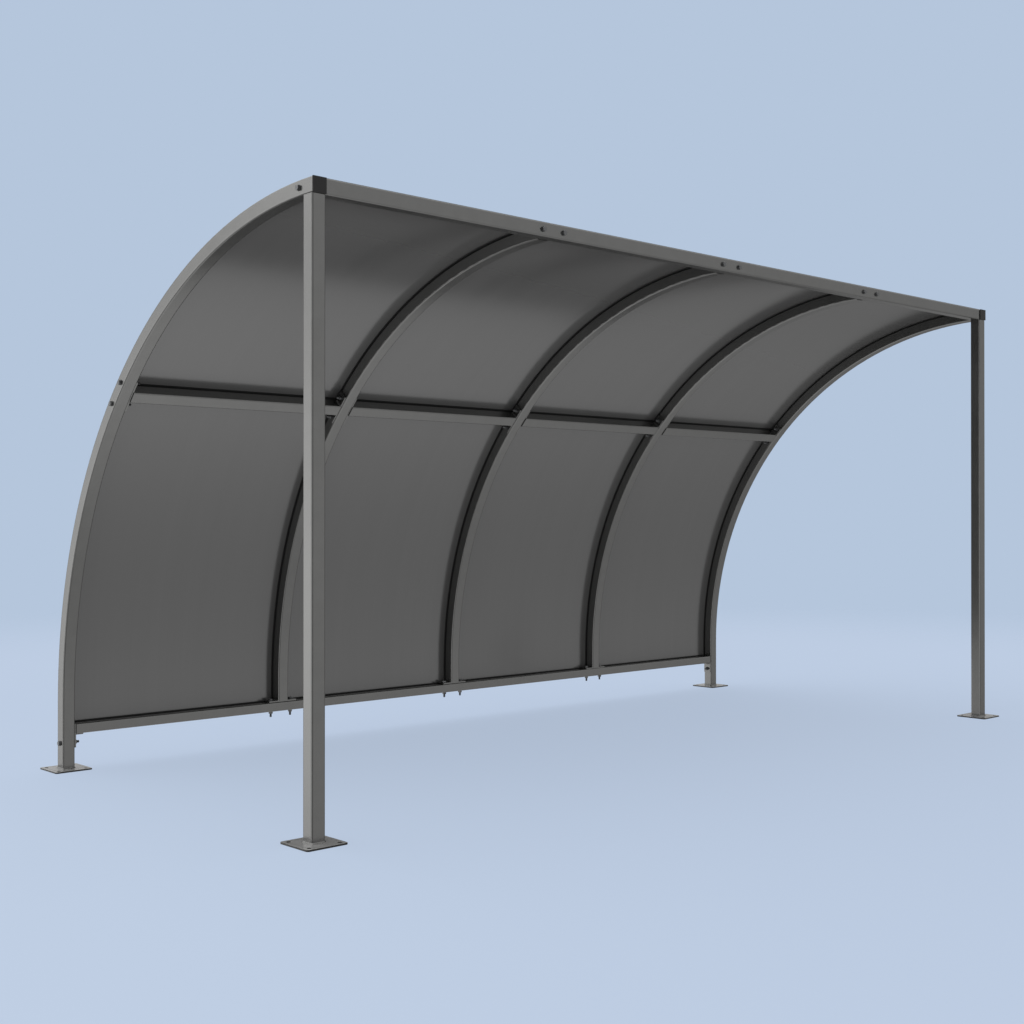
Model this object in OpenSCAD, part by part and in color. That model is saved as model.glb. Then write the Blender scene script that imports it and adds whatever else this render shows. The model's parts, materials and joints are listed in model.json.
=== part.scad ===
// Free-standing bike shelter: two bent end arches on posts, three bent ribs,
// and a curved skin of eight sheets that makes the rear wall and the roof.
// Millimetres. +X runs along the shelter, +Y to its closed rear, +Z up.
// The origin is on the floor, under the centre of the shelter.

/* [Overall] */
// Length over the outer faces of the end arches
shelter_l = 4000; // [3000:50:5000]
// Depth from the front of the posts to the rear of the arches
shelter_d = 1740; // [1400:10:2200]
// Height of the top of the arches above the floor
shelter_h = 2010; // [1600:10:2500]
// Number of bays between the two end arches
bays = 4; // [2:1:6]

/* [Arch] */
// Shortest straight stretch at the foot of an arch
leg_straight_min = 270; // [220:10:500]
// Shortest straight stretch at the front end of an arch
front_straight_min = 0; // [0:5:200]
// Angle of the middle rail, up from the foot of the bend
mid_rail_angle = 43; // [35:1:60]

/* [Square tube] */
// Outside width of the frame tube
tube = 50; // [40:1:60]
// Wall of the frame tube
tube_wall = 3; // [2:0.5:4]
// Outside corner radius of the frame tube
tube_corner = 6; // [3:0.5:8]

/* [Bottom rail] */
// Height of the bottom rail's section
bottom_rail_h = 40; // [30:1:50]
// Clear height under the bottom rail
bottom_rail_clear = 138; // [125:1:200]

/* [Base plates] */
// Side of a square base plate
base_plate = 150; // [120:1:200]
// Thickness of a base plate
base_plate_t = 6; // [5:0.5:10]
// Corner radius of a base plate
base_plate_corner = 10; // [5:1:20]
// Distance between the anchor holes along each side
anchor_spacing = 110; // [90:1:110]
// Diameter of an anchor hole
anchor_hole = 14; // [9:1:16]

/* [Bolted joints] */
// Thickness of the welded flanges
flange_t = 6; // [4:0.5:8]
// Length of a flange across its two bolts
flange_l = 140; // [120:1:160]
// Width of a flange
flange_w = 42; // [34:1:50]
// Corner radius of the flanges, the end plates and the brackets
flange_corner = 3; // [1:0.5:6]
// Distance that the header's end plate reaches behind the header
ear_l = 50; // [40:1:70]
// Distance that the rail brackets reach down below the bottom rail
bracket_drop = 54; // [45:1:60]
// Length of the bracket's foot under the bottom rail
bracket_foot = 30; // [20:1:50]
// Thickness of the bracket's foot
bracket_foot_t = 4; // [3:0.5:6]

/* [Skin] */
// Thickness of a sheet
sheet_t = 2; // [1:0.5:5]
// Gap between neighbouring sheets
sheet_gap = 4; // [2:0.5:8]
// Distance from the sheets' outer edges to the frame's outer edges
sheet_inset = 15; // [10:1:20]
// Lap of the lower sheets over the bottom rail
sheet_lap = 30; // [15:1:35]
// Thickness of the sealing strips under the sheets
seal_t = 2; // [1:0.5:4]
// Width of sealing strip that shows beside a tube
seal_lip = 5; // [2:0.5:8]

/* [End caps] */
// Thickness of the cap plate outside the tube
cap_t = 4; // [3:0.5:6]
// Length of the cap's plug inside the tube
cap_plug = 20; // [10:1:30]
// Corner radius of an end cap's head, sharper than the tube's
cap_corner = 1.5; // [1:0.5:4]
// Clearance around the plug
cap_clear = 0.2; // [0.1:0.1:0.5]

/* [Hidden] */
// Bend: the outer radius that fits both the depth and the height
bend_r = min(shelter_d - front_straight_min, shelter_h - leg_straight_min);
arc_y = shelter_d / 2 - bend_r;
arc_z = shelter_h - bend_r;
mid_r = bend_r - tube / 2;

// Frame faces
front_y = -shelter_d / 2;
rear_y = shelter_d / 2;
arch_x = (shelter_l - tube) / 2;
bay = (shelter_l - tube) / bays;
bore = tube - 2 * tube_wall;
bore_corner = max(tube_corner - tube_wall, 0.5);
leg_y = rear_y - tube / 2;
post_y = front_y + tube / 2;
header_rear_y = front_y + tube;
bottom_rail_top = bottom_rail_clear + bottom_rail_h;
rib_foot_z = bottom_rail_top + flange_t;
rib_head_y = header_rear_y + flange_t;
clear_bay = bay - tube;

// Height of a bend of radius r above the floor, at a distance y along the depth
function bend_z(r, y) = arc_z + (y > arc_y ? sqrt(r * r - (y - arc_y) * (y - arc_y)) : r);

// The header and the posts meet the arches behind the front edge, where the bend has begun
post_top = bend_z(bend_r - tube, header_rear_y);
header_z = bend_z(bend_r, header_rear_y) - tube / 2;

// Skin faces
sheet_front_y = front_y + sheet_inset;
sheet_foot_z = bottom_rail_top - sheet_lap;
sheet_end_x = shelter_l / 2 - sheet_inset;

// Larger than the shelter, for half-space cuts
far = 2 * (shelter_l + shelter_h + shelter_d);
$fn = 48;
BEND_FN = 360;

FRAME_COLOUR = [0.36, 0.35, 0.34];
PLATE_COLOUR = [0.45, 0.44, 0.42];
SHEET_COLOUR = [0.30, 0.30, 0.30];
SEAL_COLOUR = [0.06, 0.06, 0.06];

function ids(name, count) = [for (i = [1:count]) str(name, i)];

// Centre of rib i, or of an end arch at i = 0 and i = bays
function rib_x(i) = -arch_x + i * bay;
// Centre of bay i, counted from 1
function bay_x(i) = rib_x(i) - bay / 2;

// ---- Profiles -------------------------------------------------------------

// Rectangle about its centre with round corners
module round_rect(w, h, r) {
    square([w - 2 * r, h], center = true);
    square([w, h - 2 * r], center = true);
    for (x = [-1, 1], y = [-1, 1])
        translate([x * (w / 2 - r), y * (h / 2 - r)]) circle(r = r);
}

// Section of a tube w by h about its centre
module tube_section(w = tube, h = tube) {
    difference() {
        round_rect(w, h, tube_corner);
        round_rect(w - 2 * tube_wall, h - 2 * tube_wall, bore_corner);
    }
}

// ---- Placing --------------------------------------------------------------

// Extrudes a (y, z) outline along X from x0 to x1
module along_x(x0, x1) {
    translate([x0, 0, 0]) rotate([90, 0, 90]) linear_extrude(x1 - x0) children();
}

// Sweeps a (radial, x) section round the bend, from the foot to the front end
module round_bend(x) {
    translate([x, arc_y, arc_z]) rotate([0, 90, 0]) rotate([0, 0, 90])
        rotate_extrude(angle = 90, $fn = BEND_FN) translate([mid_r, 0]) children();
}

// Puts a piece on the bend's centre line at an angle, its Y axis facing out
module on_bend(x, angle) {
    translate([x, arc_y, arc_z]) rotate([angle, 0, 0]) translate([0, mid_r, 0]) children();
}

// ---- Frame ----------------------------------------------------------------

// Bent tube of one arch or rib, from foot_z to head_y
module bent_tube(x, foot_z, head_y) {
    round_bend(x) tube_section();
    translate([x, leg_y, foot_z]) linear_extrude(arc_z - foot_z) tube_section();
    if (arc_y > head_y)
        translate([x, head_y, shelter_h - tube / 2]) rotate([-90, 0, 0])
            linear_extrude(arc_y - head_y) tube_section();
}

module end_arch(side) {
    color(FRAME_COLOUR) bent_tube(side * arch_x, base_plate_t, front_y);
}

module end_cap(side) {
    plug = bore - 2 * cap_clear;
    color("#222222") translate([side * arch_x, front_y, shelter_h - tube / 2]) rotate([-90, 0, 0]) {
        translate([0, 0, -cap_t]) linear_extrude(cap_t) round_rect(tube, tube, cap_corner);
        linear_extrude(cap_plug) round_rect(plug, plug, bore_corner);
    }
}

module front_post(side) {
    color(FRAME_COLOUR) translate([side * arch_x, post_y, base_plate_t])
        linear_extrude(post_top - base_plate_t) tube_section();
}

module base_plate(side, y) {
    color(PLATE_COLOUR) translate([side * arch_x, y, 0]) linear_extrude(base_plate_t) difference() {
        round_rect(base_plate, base_plate, base_plate_corner);
        for (dx = [-0.5, 0.5], dy = [-0.5, 0.5])
            translate([dx * anchor_spacing, dy * anchor_spacing]) circle(d = anchor_hole);
    }
}

// Front beam between the header's two end plates
module header_beam() {
    half = arch_x - tube / 2 - flange_t;
    color(FRAME_COLOUR) translate([0, post_y, header_z]) along_x(-half, half) tube_section();
}

// Plate welded over the header's end, with an ear that reaches back along the arch
module header_end_plate(side) {
    color(FRAME_COLOUR) translate([side * (arch_x - (tube + flange_t) / 2), post_y, header_z])
        rotate([0, 90, 0]) linear_extrude(flange_t, center = true) {
            round_rect(tube, tube, tube_corner);
            translate([0, ear_l / 2]) round_rect(flange_w, flange_w + ear_l, flange_corner);
        }
}

// Rear beam near the floor, between the brackets on the end legs
module bottom_rail() {
    half = arch_x - tube / 2 - flange_t;
    color(FRAME_COLOUR) translate([0, leg_y, bottom_rail_clear + bottom_rail_h / 2])
        along_x(-half, half) tube_section(tube, bottom_rail_h);
}

// Plate bolted to an end leg, with a foot that reaches under the bottom rail
module rail_bracket(side) {
    low = bottom_rail_clear - bracket_drop;
    face_x = arch_x - tube / 2 - flange_t;
    color(FRAME_COLOUR) {
        translate([side * (face_x + flange_t / 2), leg_y, (low + bottom_rail_top) / 2])
            rotate([0, 90, 0]) linear_extrude(flange_t, center = true)
                round_rect(bottom_rail_top - low, flange_w, flange_corner);
        translate([side * (face_x - bracket_foot / 2), leg_y, bottom_rail_clear - bracket_foot_t / 2])
            cube([bracket_foot, flange_w, bracket_foot_t], center = true);
    }
}

// Intermediate rib, bolted to the bottom rail and to the header
module rib(i) {
    color(FRAME_COLOUR) {
        difference() {
            bent_tube(rib_x(i), rib_foot_z, rib_head_y);
            translate([-far / 2, rib_head_y - far, 0]) cube(far);
        }
        translate([rib_x(i), leg_y, bottom_rail_top]) linear_extrude(flange_t)
            round_rect(flange_l, flange_w, flange_corner);
        translate([rib_x(i), rib_head_y, header_z]) rotate([90, 0, 0])
            linear_extrude(flange_t) round_rect(flange_l, flange_w, flange_corner);
    }
}

// Short rail between two ribs, with a flange on each end
module mid_rail(i) {
    color(FRAME_COLOUR) on_bend(bay_x(i), mid_rail_angle) {
        rail_half = clear_bay / 2 - flange_t;
        along_x(-rail_half, rail_half) tube_section();
        for (side = [-1, 1])
            translate([side * (rail_half + flange_t / 2), 0, 0]) rotate([90, 0, 90])
                linear_extrude(flange_t, center = true) round_rect(flange_w, flange_l, flange_corner);
    }
}

// ---- Skin -----------------------------------------------------------------

// Outline in (y, z) of a layer of thickness t over the frame, off above its outer faces
module skin_layer(off, t, head_y = sheet_front_y) {
    low = bend_r + off;
    intersection() {
        translate([head_y, sheet_foot_z]) square(far);
        union() {
            translate([arc_y, arc_z]) intersection() {
                difference() {
                    circle(r = low + t, $fn = BEND_FN);
                    circle(r = low, $fn = BEND_FN);
                }
                square(low + t);
            }
            translate([rear_y + off, 0]) square([t, arc_z]);
            if (arc_y > head_y)
                translate([head_y, shelter_h + off]) square([arc_y - head_y, t]);
        }
    }
}

// Half plane in (y, z) below a ray from the bend's centre, shifted down by shift
module below_ray(angle, shift) {
    translate([arc_y, arc_z]) rotate(angle) translate([-far / 2, -far - shift]) square(far);
}

// Left edge of the sheet in bay i, and right edge of the sheet in bay i - 1
function sheet_left(i) = i == 1 ? -sheet_end_x : rib_x(i - 1) + sheet_gap / 2;
function sheet_right(i) = i == bays ? sheet_end_x : rib_x(i) - sheet_gap / 2;

// Sheet of bay i that makes the rear wall
module lower_sheet(i) {
    color(SHEET_COLOUR) along_x(sheet_left(i), sheet_right(i)) intersection() {
        skin_layer(seal_t, sheet_t);
        below_ray(mid_rail_angle, sheet_gap / 2);
    }
}

// Sheet of bay i that makes the roof
module upper_sheet(i) {
    color(SHEET_COLOUR) along_x(sheet_left(i), sheet_right(i)) difference() {
        skin_layer(seal_t, sheet_t);
        below_ray(mid_rail_angle, -sheet_gap / 2);
    }
}

// Sealing strip along an end arch: its lip shows on the inner side only
module end_seal(side) {
    inner = arch_x - tube / 2 - seal_lip;
    color(SEAL_COLOUR) along_x(side < 0 ? -sheet_end_x : inner, side < 0 ? -inner : sheet_end_x)
        skin_layer(0, seal_t);
}

// Sealing strip along a rib, with a lip on both sides
module rib_seal(i) {
    half = tube / 2 + seal_lip;
    color(SEAL_COLOUR) along_x(rib_x(i) - half, rib_x(i) + half)
        skin_layer(0, seal_t);
}

// One strip per bay, between the strips on the ribs
module in_each_bay() {
    half = clear_bay / 2 - seal_lip;
    for (i = [1:bays]) along_x(bay_x(i) - half, bay_x(i) + half) children();
}

module mid_rail_seals() {
    half = tube / 2 + seal_lip;
    color(SEAL_COLOUR) in_each_bay() difference() {
        intersection() {
            skin_layer(0, seal_t);
            below_ray(mid_rail_angle, -half);
        }
        below_ray(mid_rail_angle, half);
    }
}

module header_seals() {
    color(SEAL_COLOUR) in_each_bay() difference() {
        skin_layer(0, seal_t);
        translate([header_rear_y + seal_lip, 0]) square(far);
    }
}

module bottom_rail_seals() {
    color(SEAL_COLOUR) in_each_bay() difference() {
        skin_layer(0, seal_t);
        translate([front_y, bottom_rail_top + seal_lip]) square(far);
    }
}

// ---- Assembly -------------------------------------------------------------

end_arch(-1);  // end_arch_left
end_arch(1);  // end_arch_right
end_cap(-1);  // end_cap_left
end_cap(1);  // end_cap_right
front_post(-1);  // front_post_left
front_post(1);  // front_post_right
base_plate(-1, post_y);  // front_base_plate_left
base_plate(1, post_y);  // front_base_plate_right
base_plate(-1, leg_y);  // rear_base_plate_left
base_plate(1, leg_y);  // rear_base_plate_right
header_beam();
header_end_plate(-1);  // header_end_plate_left
header_end_plate(1);  // header_end_plate_right
bottom_rail();
rail_bracket(-1);  // rail_bracket_left
rail_bracket(1);  // rail_bracket_right
for (i = [1:bays - 1]) {
    rib(i);
    rib_seal(i);
}
for (i = [1:bays]) {
    mid_rail(i);
    lower_sheet(i);
    upper_sheet(i);
}
end_seal(-1);  // end_seal_left
end_seal(1);  // end_seal_right
mid_rail_seals();
header_seals();
bottom_rail_seals();
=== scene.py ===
"""Bike shelter: finishes, fasteners, weld beads, studio and viewpoint.

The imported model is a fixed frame, in metres: +X runs along the shelter, +Y to its closed rear,
+Z up. This script dresses the frame's parts and adds the bolts, screws and weld beads to them.
"""

from __future__ import annotations

import json
import logging
import math
from dataclasses import dataclass, field
from enum import Enum
from typing import Any, Callable, Iterable, Sequence

import bmesh
import bpy
from mathutils import Matrix, Vector

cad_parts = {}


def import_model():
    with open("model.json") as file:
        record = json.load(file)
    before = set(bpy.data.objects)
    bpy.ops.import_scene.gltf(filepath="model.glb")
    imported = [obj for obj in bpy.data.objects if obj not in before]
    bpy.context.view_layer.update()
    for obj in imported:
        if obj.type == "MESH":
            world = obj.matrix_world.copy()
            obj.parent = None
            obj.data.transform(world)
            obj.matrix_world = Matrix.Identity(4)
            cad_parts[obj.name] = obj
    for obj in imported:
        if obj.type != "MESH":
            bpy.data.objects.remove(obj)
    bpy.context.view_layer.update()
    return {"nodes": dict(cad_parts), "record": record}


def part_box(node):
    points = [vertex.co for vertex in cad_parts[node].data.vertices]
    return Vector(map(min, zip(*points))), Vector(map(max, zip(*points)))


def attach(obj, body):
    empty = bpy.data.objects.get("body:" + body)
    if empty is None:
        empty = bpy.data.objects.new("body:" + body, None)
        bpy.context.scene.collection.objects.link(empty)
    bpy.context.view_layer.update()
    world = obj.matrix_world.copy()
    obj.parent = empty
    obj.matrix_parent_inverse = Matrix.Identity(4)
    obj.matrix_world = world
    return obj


LOG = logging.getLogger("bike_shelter")
MM = 0.001
BODY = "root"
# Turn after which a hexagon looks the same
HEX_DEGREES = 60


class Slot(Enum):
    """Material slots of the record."""

    FRAME = "frame_coat"
    PLATE = "plate_coat"
    SHEET = "sheet_coat"
    CAP = "cap_plastic"
    SEAL = "seal_rubber"
    BOLT = "bolt_steel"


# ---- Node work ------------------------------------------------------------------------------


def rgba(hex_code: str) -> tuple[float, float, float, float]:
    """Turns an sRGB colour into linear values.

    Args:
        hex_code: Six hex digits after a hash sign.

    Returns:
        Linear red, green and blue, and an alpha of 1.
    """
    values = [int(hex_code[i : i + 2], 16) / 255 for i in (1, 3, 5)]
    linear = [v / 12.92 if v <= 0.04045 else ((v + 0.055) / 1.055) ** 2.4 for v in values]
    return (linear[0], linear[1], linear[2], 1.0)


def add_node(tree: bpy.types.NodeTree, kind: str, inputs: dict[str | int, Any] | None = None,
             **settings: Any) -> bpy.types.Node:
    """Adds a node to a tree with its settings and links.

    Args:
        tree: The tree of a material or of the world.
        kind: Blender's name for the node's type, without its ShaderNode prefix.
        inputs: For each input, an output socket to link or a value to set.
        **settings: Values for the node's own properties.

    Returns:
        The new node.
    """
    node = tree.nodes.new(f"ShaderNode{kind}")
    for name, value in settings.items():
        setattr(node, name, value)
    for key, value in (inputs or {}).items():
        if isinstance(value, bpy.types.NodeSocket):
            tree.links.new(value, node.inputs[key])
        else:
            node.inputs[key].default_value = value
    return node


def blank_material(name: str) -> tuple[bpy.types.Material, bpy.types.NodeTree]:
    """Makes a material with an empty node tree.

    Args:
        name: The material's name.

    Returns:
        The material and its tree.
    """
    material = bpy.data.materials.new(name)
    material.use_nodes = True
    material.node_tree.nodes.clear()
    return material, material.node_tree


# ---- Finishes -------------------------------------------------------------------------------


@dataclass(frozen=True)
class PowderCoat:
    """Polyester powder coat with aluminium flake, sprayed and baked on steel.

    The flake makes it mirror its surroundings softly, so faces that look at something dark turn
    dark. It has a fine orange peel, and clouds where the flake lies less evenly. Faces that stand
    upright can be painted darker, as painted shade for the contact shadow under the base plates.
    """

    name: str
    thin_hex: str
    thick_hex: str
    # Colour of upright faces, painted shade for the contact shadow under a plate, or None
    upright_shade_hex: str | None = None
    flake: float = 0.9
    roughness: tuple[float, float] = (0.21, 0.24)
    cloud_mm: float = 45.0
    # The real orange peel is about 2 mm wide, and is drawn coarser so that it shows
    peel_mm: float = 5.0
    peel_height_mm: float = 0.05

    def material(self) -> bpy.types.Material:
        """Builds the material."""
        material, tree = blank_material(self.name)
        place = add_node(tree, "TexCoord").outputs["Object"]
        cloud = add_node(tree, "TexNoise", {"Vector": place, "Scale": 1 / (self.cloud_mm * MM),
                                            "Detail": 4.0, "Roughness": 0.6})
        peel = add_node(tree, "TexNoise", {"Vector": place, "Scale": 1 / (self.peel_mm * MM),
                                           "Detail": 2.0, "Roughness": 0.5})
        tint = add_node(tree, "ValToRGB", {"Fac": cloud.outputs["Fac"]})
        tint.color_ramp.elements[0].position = 0.35
        tint.color_ramp.elements[0].color = rgba(self.thin_hex)
        tint.color_ramp.elements[1].position = 0.65
        tint.color_ramp.elements[1].color = rgba(self.thick_hex)
        colour = tint.outputs["Color"]
        # Upright faces take the painted shade colour, which stands in for the contact shadow under
        # a plate
        if self.upright_shade_hex:
            normal = add_node(tree, "NewGeometry").outputs["True Normal"]
            upward = add_node(tree, "SeparateXYZ", {0: normal}).outputs["Z"]
            level = add_node(tree, "Math", {0: upward}, operation="ABSOLUTE")
            face = add_node(tree, "MapRange", {"Value": level.outputs["Value"], "From Min": 0.5,
                                               "From Max": 0.9})
            colour = add_node(tree, "Mix", {"Factor": face.outputs["Result"],
                                            6: rgba(self.upright_shade_hex), 7: colour},
                              data_type="RGBA").outputs[2]
        gloss = add_node(tree, "MapRange", {"Value": cloud.outputs["Fac"], "From Min": 0.3,
                                            "From Max": 0.7, "To Min": self.roughness[0],
                                            "To Max": self.roughness[1]})
        bump = add_node(tree, "Bump", {"Height": peel.outputs["Fac"], "Strength": 0.04,
                                       "Distance": self.peel_height_mm * MM})
        shader = add_node(tree, "BsdfPrincipled", {
            "Base Color": colour, "Metallic": self.flake,
            "Roughness": gloss.outputs["Result"], "Normal": bump.outputs["Normal"]})
        add_node(tree, "OutputMaterial", {"Surface": shader.outputs["BSDF"]})
        return material


@dataclass(frozen=True)
class CoilCoat:
    """Coil-coated steel sheet, roller-painted with metallic grey before it was curved.

    It mirrors the ribs beside it as soft dark bands, and the rollers leave faint streaks that run
    up the wall and over the roof.
    """

    name: str
    dark_hex: str
    light_hex: str
    flake: float = 0.56
    roughness: tuple[float, float] = (0.17, 0.19)
    streak_mm: float = 9.0
    streak_length_mm: float = 1600.0
    band_mm: float = 70.0
    # The real leather grain is about 1 mm wide, and is drawn coarser so that it shows
    leather_mm: float = 6.0
    leather_height_mm: float = 0.04

    def material(self) -> bpy.types.Material:
        """Builds the material."""
        material, tree = blank_material(self.name)
        place = add_node(tree, "TexCoord").outputs["Object"]
        stretch = self.streak_mm / self.streak_length_mm
        along = add_node(tree, "Mapping", {"Vector": place, "Scale": (1.0, stretch, stretch)})
        streak = add_node(tree, "TexNoise", {"Vector": along.outputs["Vector"],
                                             "Scale": 1 / (self.streak_mm * MM),
                                             "Detail": 3.0, "Roughness": 0.6})
        band = add_node(tree, "TexNoise", {"Vector": along.outputs["Vector"],
                                           "Scale": 1 / (self.band_mm * MM),
                                           "Detail": 2.0, "Roughness": 0.5})
        both = add_node(tree, "Math", {0: streak.outputs["Fac"], 1: band.outputs["Fac"]},
                        operation="ADD")
        tint = add_node(tree, "MapRange", {"Value": both.outputs["Value"], "From Min": 0.7,
                                           "From Max": 1.3})
        colour = add_node(tree, "Mix", {"Factor": tint.outputs["Result"],
                                        6: rgba(self.dark_hex), 7: rgba(self.light_hex)},
                          data_type="RGBA")
        gloss = add_node(tree, "MapRange", {"Value": band.outputs["Fac"], "From Min": 0.3,
                                            "From Max": 0.7, "To Min": self.roughness[0],
                                            "To Max": self.roughness[1]})
        grain = add_node(tree, "TexNoise", {"Vector": place,
                                            "Scale": 1 / (self.leather_mm * MM), "Detail": 2.0})
        bump = add_node(tree, "Bump", {"Height": grain.outputs["Fac"], "Strength": 0.15,
                                       "Distance": self.leather_height_mm * MM})
        shader = add_node(tree, "BsdfPrincipled", {
            "Base Color": colour.outputs[2], "Metallic": self.flake,
            "Roughness": gloss.outputs["Result"], "Normal": bump.outputs["Normal"]})
        add_node(tree, "OutputMaterial", {"Surface": shader.outputs["BSDF"]})
        return material


@dataclass(frozen=True)
class MouldedPolyethylene:
    """Black polyethylene, injection moulded with a spark-eroded grain.

    It looks nearly black with a soft, waxy highlight.
    """

    name: str
    colour_hex: str
    grain_mm: float = 1.2
    grain_height_mm: float = 0.05

    def material(self) -> bpy.types.Material:
        """Builds the material."""
        material, tree = blank_material(self.name)
        place = add_node(tree, "TexCoord").outputs["Object"]
        grain = add_node(tree, "TexNoise", {"Vector": place, "Scale": 1 / (self.grain_mm * MM),
                                            "Detail": 3.0, "Roughness": 0.7})
        gloss = add_node(tree, "MapRange", {"Value": grain.outputs["Fac"], "To Min": 0.38,
                                            "To Max": 0.58})
        bump = add_node(tree, "Bump", {"Height": grain.outputs["Fac"], "Strength": 0.4,
                                       "Distance": self.grain_height_mm * MM})
        shader = add_node(tree, "BsdfPrincipled", {
            "Base Color": rgba(self.colour_hex), "Roughness": gloss.outputs["Result"],
            "Normal": bump.outputs["Normal"], "IOR": 1.51})
        add_node(tree, "OutputMaterial", {"Surface": shader.outputs["BSDF"]})
        return material


@dataclass(frozen=True)
class EpdmRubber:
    """Black EPDM strip, extruded and left outdoors.

    It is matt, with a greyish bloom in patches.
    """

    name: str
    fresh_hex: str
    bloom_hex: str
    bloom_mm: float = 30.0
    skin_mm: float = 2.0
    skin_height_mm: float = 0.04

    def material(self) -> bpy.types.Material:
        """Builds the material."""
        material, tree = blank_material(self.name)
        place = add_node(tree, "TexCoord").outputs["Object"]
        bloom = add_node(tree, "TexNoise", {"Vector": place, "Scale": 1 / (self.bloom_mm * MM),
                                            "Detail": 5.0, "Roughness": 0.65})
        colour = add_node(tree, "Mix", {"Factor": bloom.outputs["Fac"], 6: rgba(self.fresh_hex),
                                        7: rgba(self.bloom_hex)}, data_type="RGBA")
        skin = add_node(tree, "TexNoise", {"Vector": place, "Scale": 1 / (self.skin_mm * MM)})
        bump = add_node(tree, "Bump", {"Height": skin.outputs["Fac"], "Strength": 0.3,
                                       "Distance": self.skin_height_mm * MM})
        shader = add_node(tree, "BsdfPrincipled", {
            "Base Color": colour.outputs[2], "Roughness": 0.78,
            "Normal": bump.outputs["Normal"], "IOR": 1.52})
        add_node(tree, "OutputMaterial", {"Surface": shader.outputs["BSDF"]})
        return material


@dataclass(frozen=True)
class ZincPlatedSteel:
    """Steel fasteners, cold formed and electro-plated with bright zinc.

    It is a pale metal with small cloudy spots that are duller than the rest.
    """

    name: str
    bright_hex: str
    dull_hex: str
    spot_mm: float = 2.5
    spot_height_mm: float = 0.03

    def material(self) -> bpy.types.Material:
        """Builds the material."""
        material, tree = blank_material(self.name)
        place = add_node(tree, "TexCoord").outputs["Object"]
        spot = add_node(tree, "TexNoise", {"Vector": place, "Scale": 1 / (self.spot_mm * MM),
                                           "Detail": 4.0, "Roughness": 0.7})
        colour = add_node(tree, "Mix", {"Factor": spot.outputs["Fac"], 6: rgba(self.bright_hex),
                                        7: rgba(self.dull_hex)}, data_type="RGBA")
        gloss = add_node(tree, "MapRange", {"Value": spot.outputs["Fac"], "To Min": 0.25,
                                            "To Max": 0.5})
        bump = add_node(tree, "Bump", {"Height": spot.outputs["Fac"], "Strength": 0.2,
                                       "Distance": self.spot_height_mm * MM})
        shader = add_node(tree, "BsdfPrincipled", {
            "Base Color": colour.outputs[2], "Metallic": 1.0,
            "Roughness": gloss.outputs["Result"], "Normal": bump.outputs["Normal"]})
        add_node(tree, "OutputMaterial", {"Surface": shader.outputs["BSDF"]})
        return material


# ---- Mesh work ------------------------------------------------------------------------------


@dataclass(frozen=True)
class Wardrobe:
    """The finish of each material slot, and the way that new pieces get theirs."""

    materials: dict[Slot, bpy.types.Material]

    def dress_frame(self, nodes: dict[str, bpy.types.Object], record: dict[str, Any]) -> None:
        """Gives every part of the frame the finish of its slot.

        Args:
            nodes: The frame's objects by name.
            record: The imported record, which lists each part's slot.
        """
        for part in record["subparts"]:
            material = self.materials[Slot(part["material_slot"])]
            for socket in nodes[part["node"]].material_slots:
                socket.material = material

    def add_piece(self, name: str, mesh: bpy.types.Mesh, slot: Slot,
                  place: Matrix | None = None) -> bpy.types.Object:
        """Puts a new piece on the shelter.

        Args:
            name: The piece's name.
            mesh: Its mesh, which several pieces may share.
            slot: The material slot that it takes its finish from.
            place: Where it goes, or None where the mesh is already in place.

        Returns:
            The new object.
        """
        piece = bpy.data.objects.new(name, mesh)
        bpy.context.scene.collection.objects.link(piece)
        if place is not None:
            piece.matrix_world = place
        if not mesh.materials:
            mesh.materials.append(self.materials[slot])
        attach(piece, BODY)
        return piece


def shade(mesh: bpy.types.Mesh, crease_degrees: float = 35.0) -> bpy.types.Mesh:
    """Shades a mesh smooth between its creases.

    Args:
        mesh: The mesh.
        crease_degrees: The angle from which an edge stays sharp.

    Returns:
        The same mesh.
    """
    mesh.shade_smooth()
    mesh.set_sharp_from_angle(angle=math.radians(crease_degrees))
    return mesh


def turned(bm: bmesh.types.BMesh, profile: Sequence[tuple[float, float]], sides: int = 36,
           flats: float = 0.0, lift: float = 0.0) -> None:
    """Turns a profile about the Z axis, and mills six flats on it where asked.

    Args:
        bm: The mesh that the shape is added to.
        profile: Radius and height of each ring in millimetres, closed where the radius is 0.
        sides: Number of sides round the axis, a multiple of six.
        flats: Distance across the flats in millimetres, or 0 for a round shape.
        lift: Height that is added to every ring, in millimetres.
    """
    rings = []
    for radius, height in profile:
        ring = []
        for k in range(sides if radius > 0 else 1):
            turn = 2 * math.pi * k / sides
            reach = radius
            if flats:
                corner = (turn % (math.pi / 3)) - math.pi / 6
                reach = min(radius, flats / 2 / math.cos(corner))
            ring.append(bm.verts.new((reach * math.cos(turn) * MM, reach * math.sin(turn) * MM,
                                      (height + lift) * MM)))
        rings.append(ring)
    for low, high in zip(rings, rings[1:]):
        for k in range(sides):
            n = (k + 1) % sides
            corners = [low[k % len(low)], low[n % len(low)], high[n % len(high)],
                       high[k % len(high)]]
            bm.faces.new(list(dict.fromkeys(corners)))


def finished_mesh(name: str, build: Callable[[bmesh.types.BMesh], None]) -> bpy.types.Mesh:
    """Makes a mesh with a builder function.

    Args:
        name: The mesh's name.
        build: A function that fills an empty mesh.

    Returns:
        The finished mesh, with its normals facing out.
    """
    bm = bmesh.new()
    build(bm)
    bmesh.ops.recalc_face_normals(bm, faces=bm.faces)
    mesh = bpy.data.meshes.new(name)
    bm.to_mesh(mesh)
    bm.free()
    return shade(mesh)


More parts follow.
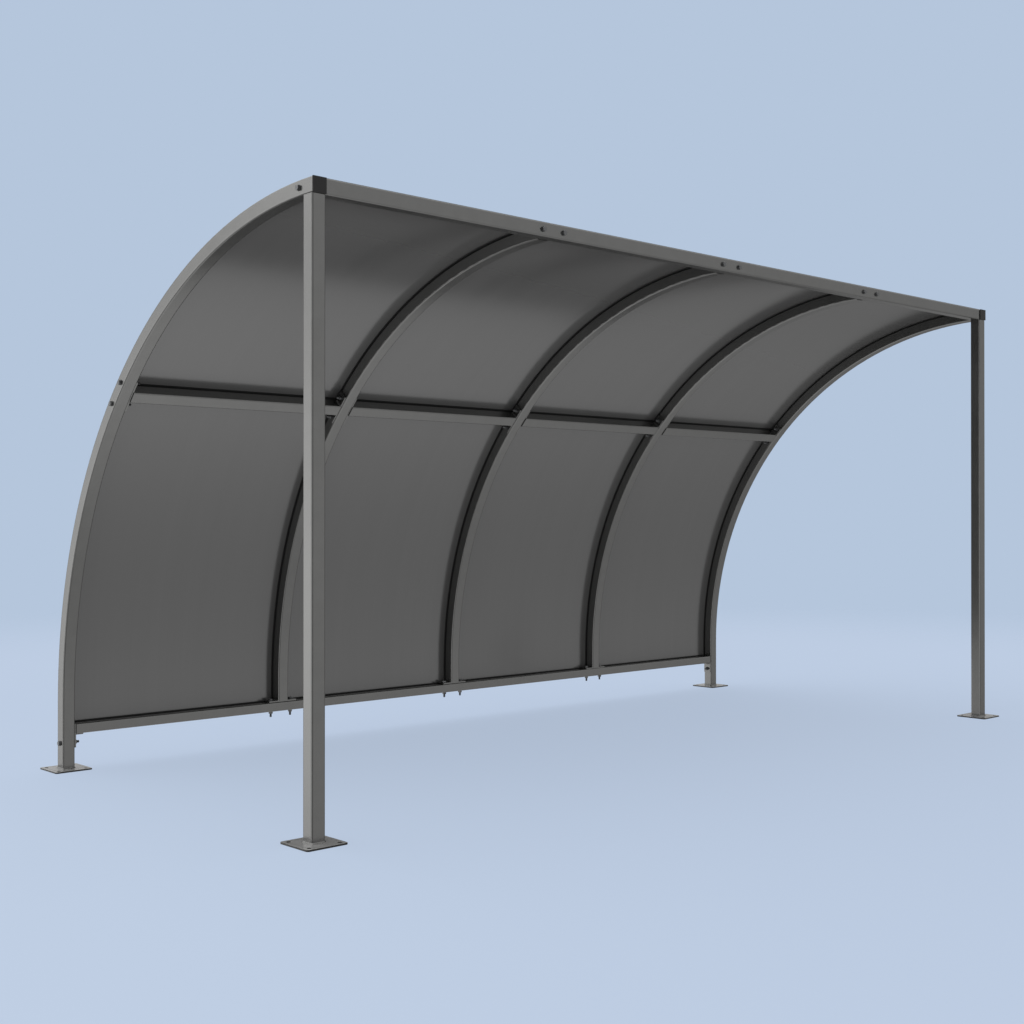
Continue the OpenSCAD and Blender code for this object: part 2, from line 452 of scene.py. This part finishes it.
def facing(point: Vector, axis: Vector, twist: float = 0.0) -> Matrix:
    """Gives the placement of a fastener that stands on a face.

    Args:
        point: The point on the face.
        axis: The face's outward direction.
        twist: How far the fastener is turned about its axis, in radians.

    Returns:
        A matrix that takes +Z to the axis.
    """
    turn = Vector((0, 0, 1)).rotation_difference(axis.normalized()).to_matrix().to_4x4()
    return Matrix.Translation(point) @ turn @ Matrix.Rotation(twist, 4, "Z")


# ---- Places on the frame --------------------------------------------------------------------


@dataclass(frozen=True)
class Layout:
    """Places that the fasteners and welds need, read from the frame, in metres."""

    tube: float
    arch_x: float
    rib_xs: tuple[float, ...]
    front_y: float
    rear_y: float
    top_z: float
    plate_top: float
    header_z: float
    rail_low: float
    rail_top: float
    flange: float
    mid_rail: Vector

    @classmethod
    def from_frame(cls, nodes: Iterable[str]) -> Layout:
        """Reads the layout from the boxes of the frame's parts.

        Args:
            nodes: Names of the frame's parts.

        Returns:
            The layout.
        """
        arch_low, arch_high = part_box("end_arch_left")
        plate_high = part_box("rear_base_plate_left")[1]
        header_low, header_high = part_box("header_beam")
        rail_low, rail_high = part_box("bottom_rail")
        mid_low, mid_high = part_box("mid_rail_1")
        ribs = sorted(n for n in nodes if n.startswith("rib_") and n.count("_") == 1)
        return cls(
            tube=arch_high[0] - arch_low[0],
            arch_x=-(arch_low[0] + arch_high[0]) / 2,
            rib_xs=tuple((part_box(n)[0][0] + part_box(n)[1][0]) / 2 for n in ribs),
            front_y=arch_low[1],
            rear_y=arch_high[1],
            top_z=arch_high[2],
            plate_top=plate_high[2],
            header_z=(header_low[2] + header_high[2]) / 2,
            rail_low=rail_low[2],
            rail_top=rail_high[2],
            flange=rail_low[0] - arch_high[0],
            mid_rail=Vector((0, (mid_low[1] + mid_high[1]) / 2, (mid_low[2] + mid_high[2]) / 2)),
        )

    @property
    def bend_radius(self) -> float:
        """Outer radius of the arches' bend, which takes up their whole depth."""
        return self.rear_y - self.front_y

    @property
    def bend_centre(self) -> Vector:
        """Centre of the bend, at x = 0."""
        return Vector((0, self.front_y, self.top_z - self.bend_radius))

    @property
    def leg_y(self) -> float:
        """Centre line of the rear legs."""
        return self.rear_y - self.tube / 2

    @property
    def post_y(self) -> float:
        """Centre line of the front posts."""
        return self.front_y + self.tube / 2

    def outward(self, angle: float) -> Vector:
        """Direction from the bend's centre at an angle above the horizontal."""
        return Vector((0, math.cos(angle), math.sin(angle)))

    def tangent(self, angle: float) -> Vector:
        """Direction up along the bend at an angle above the horizontal."""
        return Vector((0, -math.sin(angle), math.cos(angle)))

    @property
    def mid_rail_angle(self) -> float:
        """Angle of the middle rail above the horizontal."""
        spoke = self.mid_rail - self.bend_centre
        return math.atan2(spoke.z, spoke.y)


# ---- Fasteners ------------------------------------------------------------------------------


@dataclass
class JointBolts:
    """The M10 hex bolts, washers and nuts that hold the bolted joints, in millimetres."""

    layout: Layout
    wardrobe: Wardrobe
    across_flats: float = 16.0
    head: float = 6.4
    nut: float = 8.4
    thread: float = 5.0
    pitch: float = 1.5
    washer: float = 10.0
    washer_t: float = 2.0
    bolt_offset: float = 50.0
    tail: float = 12.0
    long_tail: float = 16.0
    # Height of the rail brackets' bolts, and distance of the header's end bolts from the ear's end
    bracket_bolt_z: float = 104.0
    ear_inset: float = 24.0
    # Each bolt is turned this much further than the last, because spanners leave them anyhow
    turn_degrees: float = 37.0
    count: int = field(default=0, init=False)
    meshes: dict[str, bpy.types.Mesh] = field(default_factory=dict, init=False)

    def washer_profile(self) -> list[tuple[float, float]]:
        """Profile of a washer with a broken edge."""
        t = self.washer_t
        return [(0.0, 0.0), (self.washer - 0.2, 0.0), (self.washer, 0.25), (self.washer, t - 0.25),
                (self.washer - 0.25, t), (self.thread, t)]

    def head_profile(self) -> list[tuple[float, float]]:
        """Profile of a hex head with its chamfered crown."""
        f, h = self.across_flats / 2, self.head
        return [(f * 0.9, 0.0), (f * 1.2, 0.1), (f * 1.2, h - 1.0), (f * 1.1, h - 0.6),
                (f * 1.02, h - 0.3), (f * 0.94, h), (f * 0.8, h), (f * 0.7, h - 0.15),
                (0.0, h - 0.15)]

    def nut_profile(self) -> list[tuple[float, float]]:
        """Profile of a hex nut, chamfered at both ends."""
        f, h = self.across_flats / 2, self.nut
        return [(f * 0.95, 0.0), (f * 1.08, 0.5), (f * 1.2, 1.0), (f * 1.2, h - 1.0),
                (f * 1.08, h - 0.5), (f * 0.95, h), (self.thread * 1.1, h),
                (self.thread * 0.95, h - 0.5), (0.0, h - 0.5)]

    def thread_profile(self, length: float) -> list[tuple[float, float]]:
        """Profile of a bolt's threaded end.

        Args:
            length: How far the thread stands out of the nut.

        Returns:
            Rings from the nut to the chamfered point.
        """
        rings = [(self.thread * 0.9, 0.0)]
        for k in range(int(length / self.pitch) - 1):
            base = k * self.pitch
            rings += [(self.thread * 0.86, base + 0.25 * self.pitch),
                      (self.thread, base + 0.75 * self.pitch)]
        return rings + [(self.thread * 0.86, length - 1.6), (self.thread * 0.5, length),
                        (0.0, length)]

    def head_mesh(self) -> bpy.types.Mesh:
        """Mesh of a bolt head on its washer."""
        def build(bm: bmesh.types.BMesh) -> None:
            turned(bm, self.washer_profile())
            turned(bm, self.head_profile(), flats=self.across_flats, lift=self.washer_t)
        return finished_mesh("bolt_head", build)

    def nut_mesh(self, tail: float) -> bpy.types.Mesh:
        """Mesh of a nut on its washer, with the end of its bolt.

        Args:
            tail: How far the bolt stands out of the nut.

        Returns:
            The mesh.
        """
        def build(bm: bmesh.types.BMesh) -> None:
            turned(bm, self.washer_profile())
            turned(bm, self.nut_profile(), flats=self.across_flats, lift=self.washer_t)
            turned(bm, self.thread_profile(tail), sides=24, lift=self.washer_t + self.nut - 0.6)
        return finished_mesh("bolt_nut", build)

    def through(self, joint: str, head_at: Vector, nut_at: Vector, long_end: bool = False) -> None:
        """Puts a bolt through a joint.

        Args:
            joint: Name of the joint.
            head_at: Point on the face under the head.
            nut_at: Point on the face under the nut.
            long_end: Whether the bolt stands far out of its nut.
        """
        axis = (head_at - nut_at).normalized()
        self.count += 1
        twist = math.radians(self.turn_degrees * self.count % HEX_DEGREES)
        nut = self.meshes["long_nut" if long_end else "nut"]
        self.wardrobe.add_piece(f"{joint}_bolt_{self.count}", self.meshes["head"], Slot.BOLT,
                                facing(head_at, axis, twist))
        self.wardrobe.add_piece(f"{joint}_nut_{self.count}", nut, Slot.BOLT,
                                facing(nut_at, -axis, -twist))

    def header_joints(self) -> None:
        """Bolts the ribs and the end arches to the header."""
        at = self.layout
        offset = self.bolt_offset * MM
        flange_back = at.front_y + at.tube + at.flange
        for i, x in enumerate(at.rib_xs, 1):
            for side in (-1, 1):
                front = Vector((x + side * offset, at.front_y, at.header_z))
                self.through(f"rib_{i}_head", front, Vector((front.x, flange_back, front.z)))
        ear_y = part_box("header_end_plate_left")[1][1] - self.ear_inset * MM
        for name, side in (("left", -1), ("right", 1)):
            outer = Vector((side * (at.arch_x + at.tube / 2), ear_y, at.header_z))
            inner = Vector((side * (at.arch_x - at.tube / 2 - at.flange), ear_y, at.header_z))
            self.through(f"header_{name}", outer, inner)

    def mid_rail_joints(self) -> None:
        """Bolts the middle rails to the arches and, in pairs, through the ribs."""
        at = self.layout
        up = at.tangent(at.mid_rail_angle) * self.bolt_offset * MM
        half = at.tube / 2
        xs = (-at.arch_x, *at.rib_xs, at.arch_x)
        for i, x in enumerate(xs):
            head_x = x + half + at.flange
            nut_x = x - half - at.flange
            if i == 0:
                head_x, nut_x = x - half, x + half + at.flange
            elif i == len(xs) - 1:
                head_x = x + half
            for side in (-1, 1):
                centre = at.mid_rail + side * up
                self.through(f"mid_rail_{i}", Vector((head_x, centre.y, centre.z)),
                             Vector((nut_x, centre.y, centre.z)))

    def foot_joints(self) -> None:
        """Bolts the ribs to the bottom rail, and the rail's brackets to the legs."""
        at = self.layout
        offset = self.bolt_offset * MM
        for i, x in enumerate(at.rib_xs, 1):
            for side in (-1, 1):
                top = Vector((x + side * offset, at.leg_y, at.rail_top + at.flange))
                self.through(f"rib_{i}_foot", top, Vector((top.x, top.y, at.rail_low)), True)
        for name, side in (("left", -1), ("right", 1)):
            z = self.bracket_bolt_z * MM
            outer = Vector((side * (at.arch_x + at.tube / 2), at.leg_y, z))
            inner = Vector((side * (at.arch_x - at.tube / 2 - at.flange), at.leg_y, z))
            self.through(f"rail_bracket_{name}", outer, inner)

    def build(self) -> None:
        """Builds every bolt."""
        self.meshes = {"head": self.head_mesh(), "nut": self.nut_mesh(self.tail),
                       "long_nut": self.nut_mesh(self.long_tail)}
        self.header_joints()
        self.mid_rail_joints()
        self.foot_joints()
        LOG.info("joint bolts: %d with their nuts", self.count)


@dataclass
class SheetScrews:
    """Self-drilling screws on bonded rubber washers, which hold the skin from outside.

    Sizes are in millimetres. None stands above the front edge of the roof, where the skin is
    at its highest.
    """

    layout: Layout
    wardrobe: Wardrobe
    across_flats: float = 8.0
    skin: float = 4.0
    spacing: float = 305.0
    edge: float = 17.0
    end_shift: float = 4.0
    columns_in_bay: int = 3
    front_clear: float = 150.0
    turn_degrees: float = 23.0
    count: int = field(default=0, init=False)

    def mesh(self) -> bpy.types.Mesh:
        """Mesh of one screw head with its washer."""
        f = self.across_flats / 2
        rubber = [(0.0, 0.0), (7.2, 0.0), (7.6, 0.4), (7.5, 1.2), (6.9, 1.5)]
        cup = [(7.0, 1.4), (7.2, 1.6), (7.0, 1.9), (5.2, 2.5), (3.0, 2.6)]
        flange = [(3.0, 2.4), (5.3, 2.5), (5.5, 2.9), (5.2, 3.3), (f * 1.2, 3.5)]
        crown = [(f * 1.2, 3.3), (f * 1.2, 5.8), (f * 1.05, 6.2), (f * 0.9, 6.4), (f * 0.7, 6.4),
                 (f * 0.6, 6.1), (0.0, 6.1)]

        def build(bm: bmesh.types.BMesh) -> None:
            for profile in (rubber, cup, flange):
                turned(bm, profile, sides=24)
            turned(bm, crown, sides=24, flats=self.across_flats)
        return finished_mesh("skin_screw", build)

    def stand(self, mesh: bpy.types.Mesh, x: float, angle: float, drop: float = 0.0) -> None:
        """Drives one screw.

        Args:
            mesh: The screw's mesh.
            x: Its place along the shelter.
            angle: Its angle round the bend.
            drop: How far below the foot of the bend it sits, on the straight wall.
        """
        at = self.layout
        out = at.outward(angle)
        point = at.bend_centre + out * (at.bend_radius + self.skin * MM) - Vector((0, 0, drop))
        self.count += 1
        twist = math.radians(self.turn_degrees * self.count % HEX_DEGREES)
        place = facing(Vector((x, point.y, point.z)), out, twist)
        self.wardrobe.add_piece(f"skin_screw_{self.count}", mesh, Slot.BOLT, place)

    def column_angles(self) -> list[float]:
        """Angles of the screws that run up an arch or a rib."""
        at = self.layout
        radius = at.bend_radius
        step = self.spacing * MM / radius
        seam = at.mid_rail_angle
        near = self.edge * MM / radius
        last = math.pi / 2 - self.front_clear * MM / radius
        below = [seam - near - k * step for k in range(int((seam - near) / step) + 1)]
        count = round((last - seam - near) / step)
        above = [seam + near + k * (last - seam - near) / count for k in range(count + 1)]
        return below + above

    def build(self) -> None:
        """Drives the screws up the arches and ribs, and along the middle and bottom rails."""
        at = self.layout
        mesh = self.mesh()
        edge = self.edge * MM
        end_x = at.arch_x - self.end_shift * MM
        columns = [-end_x, end_x]
        columns += [x + side * edge for x in at.rib_xs for side in (-1, 1)]
        rail_drop = at.bend_centre.z - (at.rail_low + at.rail_top) / 2
        for x in columns:
            self.stand(mesh, x, 0.0, rail_drop)
            for angle in self.column_angles():
                self.stand(mesh, x, angle)
        xs = (-at.arch_x, *at.rib_xs, at.arch_x)
        near = edge / at.bend_radius
        for left, right in zip(xs, xs[1:]):
            for k in range(1, self.columns_in_bay + 1):
                x = left + (right - left) * k / (self.columns_in_bay + 1)
                self.stand(mesh, x, 0.0, rail_drop)
                for side in (-1, 1):
                    self.stand(mesh, x, at.mid_rail_angle + side * near)
        LOG.info("skin screws: %d", self.count)


# ---- Weld beads -----------------------------------------------------------------------------


@dataclass(frozen=True)
class Run:
    """One weld run: points along the corner, and the two directions that its legs lie in."""

    points: list[Vector]
    outs: list[Vector]
    along: Vector
    closed: bool = False


@dataclass
class WeldBeads:
    """Fillet welds between the tubes and their plates, laid with an even ripple.

    Sizes are in millimetres. The runs are under the powder coat, so they take its finish.
    """

    layout: Layout
    wardrobe: Wardrobe
    leg: float = 4.5
    ripple: float = 3.0
    ripple_depth: float = 0.14
    step: float = 0.75
    corner: float = 6.0
    flange_half: float = 21.0
    # How far a run stops short of the edge of a flange, and of an end plate or a bracket
    short_stop: float = 1.0
    long_stop: float = 2.0
    # Thickness of a bracket's foot under the bottom rail
    bracket_foot: float = 4.0
    section: int = 6
    hollow: float = 0.22
    root_depth: float = 0.3
    count: int = field(default=0, init=False)

    def ring(self, run: Run, k: int, length: float) -> list[Vector]:
        """Points of the bead's section at one point of a run.

        Args:
            run: The run.
            k: Number of the point.
            length: Length of the whole run.

        Returns:
            The section's points, from the tube's leg to the plate's leg, and the root.
        """
        walked = k * self.step
        crest = abs(math.sin(math.pi * walked / self.ripple))
        size = self.leg * (1 - self.ripple_depth * (1 - crest))
        if not run.closed:
            to_end = min(walked, length - walked)
            size *= math.sqrt(min(1.0, to_end / self.leg + 0.15))
        point, out = run.points[k], run.outs[k]
        ring = []
        for j in range(self.section + 1):
            turn = math.pi / 2 * j / self.section
            reach = size * (1 - self.hollow * math.sin(2 * turn))
            leg = out * math.cos(turn) + run.along * math.sin(turn)
            ring.append(point + leg * reach * MM)
        root = point - (out + run.along) * self.root_depth * MM
        return ring + [root]

    def lay(self, name: str, runs: Sequence[Run], slot: Slot = Slot.FRAME) -> None:
        """Lays the runs of one joint.

        Args:
            name: The joint's name.
            runs: Its weld runs.
            slot: The material slot of the coat over it.
        """
        def build(bm: bmesh.types.BMesh) -> None:
            for run in runs:
                length = (len(run.points) - 1) * self.step
                rings = [[bm.verts.new(p) for p in self.ring(run, k, length)]
                         for k in range(len(run.points))]
                pairs = list(zip(rings, rings[1:]))
                if run.closed:
                    pairs.append((rings[-1], rings[0]))
                else:
                    bm.faces.new(rings[0])
                    bm.faces.new(rings[-1])
                for a, b in pairs:
                    for j in range(len(a)):
                        n = (j + 1) % len(a)
                        bm.faces.new((a[j], a[n], b[n], b[j]))
        self.count += 1
        self.wardrobe.add_piece(f"weld_{name}", finished_mesh(f"weld_{name}", build), slot)

    def straight(self, middle: Vector, line: Vector, half: float, out: Vector,
                 along: Vector) -> Run:
        """Makes a straight run.

        Args:
            middle: Middle of the corner.
            line: Direction of the corner.
            half: Half the run's length, in millimetres.
            out: Direction of the leg on the plate.
            along: Direction of the leg on the tube.

        Returns:
            The run.
        """
        count = int(2 * half / self.step)
        points = [middle + line * (k * self.step - half) * MM for k in range(count + 1)]
        return Run(points, [out] * len(points), along)

    def round_tube(self, centre: Vector) -> Run:
        """Makes a closed run round the foot of an upright tube.

        Args:
            centre: Centre of the tube, on the plate.

        Returns:
            The run.
        """
        half = self.layout.tube / 2 / MM
        flat = 2 * (half - self.corner)
        arc = math.pi / 2 * self.corner
        count = round(4 * (flat + arc) / self.step)
        points, outs = [], []
        for k in range(count):
            side, rest = divmod(k * 4 * (flat + arc) / count, flat + arc)
            turn = side * math.pi / 2
            if rest <= flat:
                bend, corner_x, corner_y = 0.0, half, rest - flat / 2
            else:
                bend = (rest - flat) / self.corner
                corner_x = half - self.corner + self.corner * math.cos(bend)
                corner_y = flat / 2 + self.corner * math.sin(bend)
            spin = Matrix.Rotation(turn, 3, "Z")
            points.append(centre + spin @ Vector((corner_x, corner_y, 0)) * MM)
            outs.append(spin @ Vector((math.cos(bend), math.sin(bend), 0)))
        return Run(points, outs, Vector((0, 0, 1)), closed=True)

    def plate_welds(self) -> None:
        """Welds the posts and legs to their base plates."""
        at = self.layout
        for name, side in (("left", -1), ("right", 1)):
            for where, y in (("front_post", at.post_y), ("rear_leg", at.leg_y)):
                foot = Vector((side * at.arch_x, y, at.plate_top))
                self.lay(f"{where}_{name}", [self.round_tube(foot)])
            post_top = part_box(f"front_post_{name}")[1][2]
            inner = Vector((side * at.arch_x, at.post_y + at.tube / 2, post_top))
            self.lay(f"post_top_{name}", [self.straight(
                inner, Vector((1, 0, 0)), self.flange_half, Vector((0, 1, 0)), Vector((0, 0, -1)))])

    def flange_welds(self) -> None:
        """Welds the flanges to the ribs, the middle rails and the header."""
        at = self.layout
        half = at.tube / 2
        x_axis, y_axis, z_axis = Vector((1, 0, 0)), Vector((0, 1, 0)), Vector((0, 0, 1))
        short, shorter = self.flange_half - self.short_stop, self.flange_half - self.long_stop
        flange_back = at.front_y + at.tube + at.flange
        for i, x in enumerate(at.rib_xs, 1):
            foot = Vector((x, at.leg_y, at.rail_top + at.flange))
            head = Vector((x, flange_back, at.header_z))
            self.lay(f"rib_{i}_foot", [
                self.straight(foot + x_axis * side * half, y_axis, short,
                              x_axis * side, z_axis) for side in (-1, 1)])
            self.lay(f"rib_{i}_head", [
                self.straight(head + x_axis * side * half, z_axis, short,
                              x_axis * side, y_axis) for side in (-1, 1)])
        angle = at.mid_rail_angle
        out, up = at.outward(angle), at.tangent(angle)
        xs = (-at.arch_x, *at.rib_xs, at.arch_x)
        for i, (left, right) in enumerate(zip(xs, xs[1:]), 1):
            runs = []
            for x, inward in ((left + half + at.flange, 1), (right - half - at.flange, -1)):
                for side in (-1, 1):
                    middle = at.mid_rail + up * side * half
                    middle.x = x
                    runs.append(self.straight(middle, out, short, up * side,
                                              x_axis * inward))
            self.lay(f"mid_rail_{i}", runs)
        for name, side in (("left", -1), ("right", 1)):
            plate_x = side * (at.arch_x - half - at.flange)
            corner = Vector((plate_x, at.front_y + at.tube, at.header_z))
            foot = Vector((plate_x, at.leg_y, at.rail_low - self.bracket_foot * MM))
            self.lay(f"header_{name}", [self.straight(corner, z_axis, shorter,
                                                      y_axis, -x_axis * side)])
            self.lay(f"rail_bracket_{name}", [self.straight(foot, y_axis, shorter,
                                                            -z_axis, -x_axis * side)])

    def build(self) -> None:
        """Lays every weld."""
        self.plate_welds()
        self.flange_welds()
        LOG.info("welded joints: %d", self.count)


# ---- Softened edges -------------------------------------------------------------------------


@dataclass(frozen=True)
class EdgeBreaks:
    """Small rounds on the sharp edges of plates and mouldings, as modifiers, in millimetres."""

    nodes: dict[str, bpy.types.Object]
    plate_round: float = 0.8
    cap_round: float = 0.4
    joined_below: float = 0.01
    sharp_degrees: float = 50.0

    def soften(self, name: str, width: float) -> None:
        """Rounds the sharp edges of one part.

        Args:
            name: The part's name.
            width: Width of the rounded edge.
        """
        part = self.nodes[name]
        joined = part.modifiers.new("joined", "WELD")
        joined.merge_threshold = self.joined_below * MM
        edge = part.modifiers.new("edge", "BEVEL")
        edge.width = width * MM
        edge.segments = 2
        edge.limit_method = "ANGLE"
        edge.angle_limit = math.radians(self.sharp_degrees)
        edge.harden_normals = True

    def build(self) -> None:
        """Rounds the base plates, the end caps and the brackets."""
        for name in sorted(self.nodes):
            if "base_plate" in name or "bracket" in name or "end_plate" in name:
                self.soften(name, self.plate_round)
            elif name.startswith("end_cap"):
                self.soften(name, self.cap_round)


# ---- Studio ---------------------------------------------------------------------------------


@dataclass(frozen=True)
class SoftLight:
    """One broad, far light: where it comes from, how strong and how soft it is."""

    name: str
    towards: tuple[float, float, float]
    strength: float
    softness_degrees: float
    colour_hex: str

    def build(self) -> None:
        """Adds the light to the scene."""
        light = bpy.data.lights.new(self.name, "SUN")
        light.energy = self.strength
        light.angle = math.radians(self.softness_degrees)
        light.color = rgba(self.colour_hex)[:3]
        lamp = bpy.data.objects.new(self.name, light)
        lamp.rotation_euler = Vector(self.towards).to_track_quat("-Z", "Y").to_euler()
        bpy.context.scene.collection.objects.link(lamp)


@dataclass(frozen=True)
class Glow:
    """A patch of light in the surroundings: where it is, how strong and how tight it is.

    A negative strength is a dark patch, such as an unlit wall.
    """

    source: tuple[float, float, float]
    strength: float
    tightness: float


@dataclass(frozen=True)
class Studio:
    """Pale seamless floor and backdrop with soft light.

    A broad light comes down from above the left end. The surroundings glow at the left, at the
    front, above and below, as a white studio does, with a dark patch at the near corner and at
    the right. The floor is painted lighter at the left, as a painted pool of light.
    """

    floor_hex: str = "#becde3"
    # The floor is painted lighter round a centre at the left: a painted pool of light
    painted_light_hex: str = "#c2d1e6"
    painted_light_centre: tuple[float, float, float] = (-4.5, -0.5, 0.0)
    painted_light_radius: float = 4.5
    backdrop_hex: str = "#b5c6dc"
    fill: float = 0.31
    shadow_share: float = 0.22
    floor_radius: float = 14.0
    fade_from: float = 4.5
    fade_to: float = 10.0
    floor_drop_mm: float = 0.5
    key: SoftLight = SoftLight("key", (0.45, -0.35, -0.82), 1.2, 90.0, "#ffffff")
    glows: tuple[Glow, ...] = (
        Glow((-0.6, 0.8, -0.05), 1.85, 22.0),
        Glow((-1.0, 0.1, 0.0), 0.35, 2.0),
        Glow((-0.98, -0.2, 0.0), 1.5, 24.0),
        Glow((-0.4, -0.92, 0.0), -0.3, 14.0),
        Glow((0.48, -0.86, 0.12), 0.53, 3.4),
        Glow((0.08, 0.02, -1.0), 0.98, 3.3),
        Glow((0.3, 0.3, 0.9), 0.9, 2.0),
        Glow((1.0, 0.15, 0.0), -0.28, 14.0),
    )

    def world(self) -> None:
        """Sets the backdrop's colour and the light of the surroundings."""
        world = bpy.data.worlds.new("backdrop")
        bpy.context.scene.world = world
        world.use_nodes = True
        tree = world.node_tree
        tree.nodes.clear()
        facing_out = add_node(tree, "TexCoord").outputs["Generated"]
        light = add_node(tree, "Value").outputs[0]
        light.default_value = self.fill
        for glow in self.glows:
            source = Vector(glow.source).normalized()
            near = add_node(tree, "VectorMath", {0: facing_out, 1: source},
                            operation="DOT_PRODUCT")
            ahead = add_node(tree, "Math", {0: near.outputs["Value"], 1: 0.0},
                             operation="MAXIMUM")
            falloff = add_node(tree, "Math", {0: ahead.outputs[0], 1: glow.tightness},
                               operation="POWER")
            light = add_node(tree, "Math", {0: falloff.outputs[0], 1: glow.strength, 2: light},
                             operation="MULTIPLY_ADD").outputs[0]
        glowing = add_node(tree, "Background", {"Strength": light})
        backdrop = add_node(tree, "Background", {"Color": rgba(self.backdrop_hex)})
        seen = add_node(tree, "LightPath").outputs["Is Camera Ray"]
        shown = add_node(tree, "MixShader", {0: seen, 1: glowing.outputs[0],
                                             2: backdrop.outputs[0]})
        add_node(tree, "OutputWorld", {"Surface": shown.outputs[0]})

    def floor_material(self) -> bpy.types.Material:
        """Pale painted floor that glows a little and fades into the backdrop far away.

        Returns:
            The material.
        """
        material, tree = blank_material("studio_floor")
        place = add_node(tree, "TexCoord").outputs["Object"]
        # Painted pool of light: the floor's colour turns lighter towards a centre at the left
        from_painted_light = add_node(tree, "VectorMath", {0: place, 1: self.painted_light_centre},
                             operation="DISTANCE")
        painted_light_mask = add_node(tree, "MapRange", {"Value": from_painted_light.outputs["Value"],
                                           "From Max": self.painted_light_radius},
                        interpolation_type="SMOOTHSTEP")
        colour = add_node(tree, "Mix", {"Factor": painted_light_mask.outputs["Result"],
                                        6: rgba(self.painted_light_hex), 7: rgba(self.floor_hex)},
                          data_type="RGBA").outputs[2]
        reach = add_node(tree, "VectorMath", {0: place}, operation="LENGTH")
        fade = add_node(tree, "MapRange", {"Value": reach.outputs["Value"],
                                           "From Min": self.fade_from, "From Max": self.fade_to},
                        interpolation_type="SMOOTHSTEP")
        glow = add_node(tree, "Emission", {"Color": colour, "Strength": 1 - self.shadow_share})
        paint = add_node(tree, "BsdfDiffuse", {"Color": colour})
        black = add_node(tree, "BsdfDiffuse", {"Color": (0.0, 0.0, 0.0, 1.0)})
        thin = add_node(tree, "MixShader", {0: self.shadow_share, 1: black.outputs[0],
                                            2: paint.outputs[0]})
        lit = add_node(tree, "AddShader", {0: glow.outputs[0], 1: thin.outputs[0]})
        clear = add_node(tree, "BsdfTransparent")
        both = add_node(tree, "MixShader", {0: fade.outputs["Result"], 1: lit.outputs[0],
                                            2: clear.outputs[0]})
        add_node(tree, "OutputMaterial", {"Surface": both.outputs[0]})
        return material

    def floor(self) -> None:
        """Lays the floor, which lights nothing and shades nothing but itself."""
        def build(bm: bmesh.types.BMesh) -> None:
            bmesh.ops.create_circle(bm, cap_ends=True, segments=96, radius=self.floor_radius)
        mesh = finished_mesh("studio_floor", build)
        mesh.materials.append(self.floor_material())
        floor = bpy.data.objects.new("studio_floor", mesh)
        floor.location.z = -self.floor_drop_mm * MM
        floor.visible_diffuse = False
        floor.visible_glossy = False
        floor.visible_shadow = False
        bpy.context.scene.collection.objects.link(floor)

    def build(self) -> None:
        """Builds the backdrop, the floor and the light."""
        self.world()
        self.floor()
        self.key.build()
        bpy.context.scene.view_settings.view_transform = "Standard"
        LOG.info("studio: floor, backdrop and %d glows", len(self.glows))


@dataclass(frozen=True)
class Viewpoint:
    """The camera: eye-level of a person crouching at the front left, in metres and degrees."""

    place: tuple[float, float, float] = (-4.375, -4.325, 0.985)
    heading: float = 42.71
    pitch: float = 0.22
    focal_mm: float = 48.76
    sensor_mm: float = 36.0

    def build(self) -> None:
        """Sets up the camera and makes it the scene's own."""
        data = bpy.data.cameras.new("viewpoint")
        data.lens = self.focal_mm
        data.sensor_width = self.sensor_mm
        data.clip_end = 200.0
        camera = bpy.data.objects.new("viewpoint", data)
        camera.location = self.place
        camera.rotation_euler = (math.radians(90 + self.pitch), 0.0, -math.radians(self.heading))
        bpy.context.scene.collection.objects.link(camera)
        bpy.context.scene.camera = camera
        LOG.info("viewpoint set")


# ---- Assembly -------------------------------------------------------------------------------


def finishes() -> dict[Slot, bpy.types.Material]:
    """Builds the shelter's finishes.

    Returns:
        A material for each slot.
    """
    coats = {
        Slot.FRAME: PowderCoat("powder_coated_tube", "#797978", "#7c7c7b"),
        # The plate coat's last colour is painted shade on its upright faces, standing in for the
        # contact shadow
        Slot.PLATE: PowderCoat("powder_coated_plate", "#aeaead", "#b8b8b7", "#242423",
                               flake=0.4),
        Slot.SHEET: CoilCoat("coil_coated_sheet", "#767676", "#787878"),
        Slot.CAP: MouldedPolyethylene("moulded_polyethylene", "#0e0d0d"),
        Slot.SEAL: EpdmRubber("epdm_rubber", "#080808", "#121212"),
        Slot.BOLT: ZincPlatedSteel("zinc_plated_steel", "#858687", "#5c5d5f"),
    }
    return {slot: coat.material() for slot, coat in coats.items()}


def main() -> None:
    """Builds the shelter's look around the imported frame."""
    logging.basicConfig(level=logging.INFO, format="%(name)s: %(message)s")
    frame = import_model()
    Viewpoint().build()
    layout = Layout.from_frame(frame["nodes"])
    wardrobe = Wardrobe(finishes())
    wardrobe.dress_frame(frame["nodes"], frame["record"])
    LOG.info("frame: %d parts dressed", len(frame["nodes"]))
    EdgeBreaks(frame["nodes"]).build()
    JointBolts(layout, wardrobe).build()
    SheetScrews(layout, wardrobe).build()
    WeldBeads(layout, wardrobe).build()
    Studio().build()
    bpy.context.view_layer.update()


if __name__ == "__main__":
    main()
